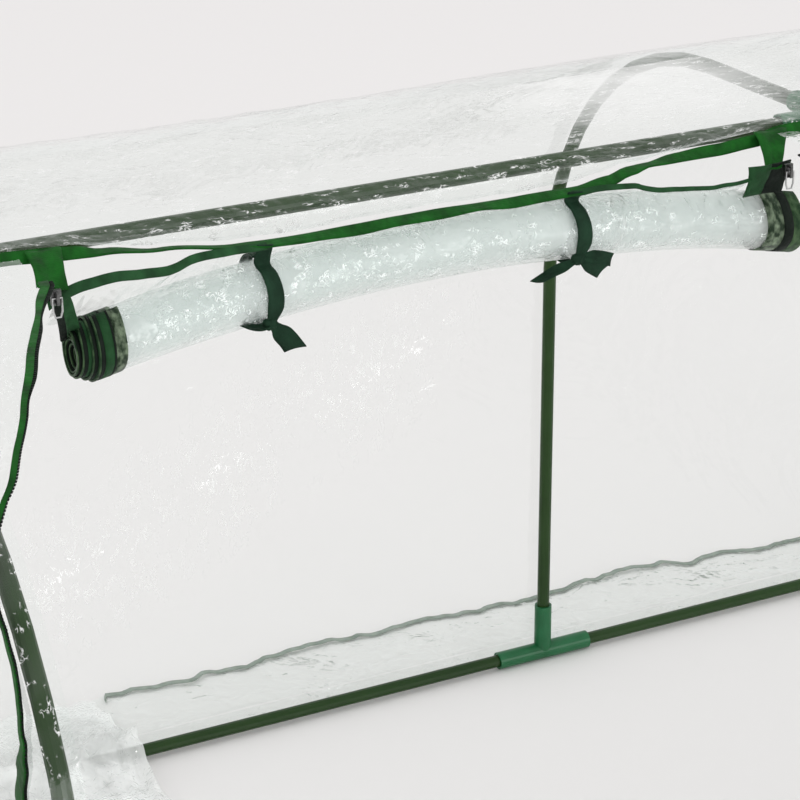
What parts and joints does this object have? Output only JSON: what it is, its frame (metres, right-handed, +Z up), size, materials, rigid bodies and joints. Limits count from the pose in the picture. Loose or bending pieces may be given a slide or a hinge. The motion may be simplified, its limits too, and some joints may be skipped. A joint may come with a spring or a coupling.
{
  "type": "mini tunnel greenhouse",
  "caption": "Low tunnel greenhouse: plug-together tube hoops and rails under a clear film cover, with roll-up zipped doors tied open below the ridge.",
  "frame": {"origin": "middle of the ground area that the whole greenhouse covers, at ground level", "axes": "+X along the ridge to the right, +Y from the doors to the back, +Z up"},
  "size_m": [1.8065, 1.248, 0.7961],
  "materials": {
    "tube": "dark green powder-coated steel tube, semi-gloss",
    "connector": "bright green moulded plastic",
    "film": "clear soft PVC film, creased, glossy",
    "binding": "vivid green woven binding tape",
    "tape": "black zip tape",
    "tie": "very dark green ribbon",
    "metal": "light metal zip slider and pull"
  },
  "bodies": {
    "frame": {"hoop_left_front": "tube", "hoop_left_back": "tube", "hoop_middle_front": "tube", "hoop_middle_back": "tube", "hoop_right_front": "tube", "hoop_right_back": "tube", "ridge_tee_left": "connector", "ridge_cross_middle": "connector", "ridge_tee_right": "connector", "ridge_rail_left": "tube", "ridge_rail_right": "tube", "base_tee_front": "connector", "base_tee_back": "connector", "base_rail_front_left": "tube", "base_rail_front_right": "tube", "base_rail_back_left": "tube", "base_rail_back_right": "tube", "corner_front_left": "connector", "corner_front_right": "connector", "corner_back_left": "connector", "corner_back_right": "connector", "base_rail_end_left": "tube", "base_rail_end_right": "tube"},
    "cover": {"cover_roof": "film", "cover_back_shoulder": "film", "cover_back_wall": "film", "skirt_back": "film", "cover_front_sill": "film", "header_band": "binding", "cover_middle_column": "film", "cover_end_left": "film", "cover_corner_left": "film", "zip_tape_left_outer": "tape", "zip_tape_left_inner": "tape", "end_flap_left": "film", "door_apron_left": "film", "zip_patch_left_outer": "binding", "zip_patch_left_inner": "binding", "cover_end_right": "film", "cover_corner_right": "film", "zip_tape_right_outer": "tape", "zip_tape_right_inner": "tape", "end_flap_right": "film", "door_apron_right": "film", "zip_patch_right_outer": "binding", "zip_patch_right_inner": "binding"},
    "door_left": {"door_roll_left": "film", "tie_left_outer": "tie", "tie_left_inner": "tie"},
    "slider_left_outer": {"zip_slider_left_outer": "metal"},
    "pull_left_outer": {"zip_pull_left_outer": "metal"},
    "slider_left_inner": {"zip_slider_left_inner": "metal"},
    "pull_left_inner": {"zip_pull_left_inner": "metal"},
    "door_right": {"door_roll_right": "film", "tie_right_outer": "tie", "tie_right_inner": "tie"},
    "slider_right_outer": {"zip_slider_right_outer": "metal"},
    "pull_right_outer": {"zip_pull_right_outer": "metal"},
    "slider_right_inner": {"zip_slider_right_inner": "metal"},
    "pull_right_inner": {"zip_pull_right_inner": "metal"}
  },
  "joints": [
    {"name": "cover_lift", "type": "slide", "parent": "frame", "child": "cover", "axis": [0, 0, 1], "range_m": [0, 0.7]},
    {"name": "door_left_unroll", "type": "slide", "parent": "cover", "child": "door_left", "axis": [0, 0, -1], "range_m": [0, 0.6], "deforming": ["door_apron_left"]},
    {"name": "slider_left_outer_run", "type": "slide", "parent": "cover", "child": "slider_left_outer", "axis": [0, 0, -1], "range_m": [0, 0.016]},
    {"name": "pull_left_outer_swing", "type": "hinge", "parent": "slider_left_outer", "child": "pull_left_outer", "pos_m": [-0.748, -0.0799, 0.772], "axis": [-1, 0, 0], "range_deg": [0, 165]},
    {"name": "slider_left_inner_run", "type": "slide", "parent": "cover", "child": "slider_left_inner", "axis": [0, 0, -1], "range_m": [0, 0.016]},
    {"name": "pull_left_inner_swing", "type": "hinge", "parent": "slider_left_inner", "child": "pull_left_inner", "pos_m": [-0.1, -0.0799, 0.772], "axis": [-1, 0, 0], "range_deg": [0, 165]},
    {"name": "door_right_unroll", "type": "slide", "parent": "cover", "child": "door_right", "axis": [0, 0, -1], "range_m": [0, 0.6], "deforming": ["door_apron_right"]},
    {"name": "slider_right_outer_run", "type": "slide", "parent": "cover", "child": "slider_right_outer", "axis": [0, 0, -1], "range_m": [0, 0.016]},
    {"name": "pull_right_outer_swing", "type": "hinge", "parent": "slider_right_outer", "child": "pull_right_outer", "pos_m": [0.748, -0.0799, 0.772], "axis": [-1, 0, 0], "range_deg": [0, 165]},
    {"name": "slider_right_inner_run", "type": "slide", "parent": "cover", "child": "slider_right_inner", "axis": [0, 0, -1], "range_m": [0, 0.016]},
    {"name": "pull_right_inner_swing", "type": "hinge", "parent": "slider_right_inner", "child": "pull_right_inner", "pos_m": [0.1, -0.0799, 0.772], "axis": [-1, 0, 0], "range_deg": [0, 165]}
  ]
}
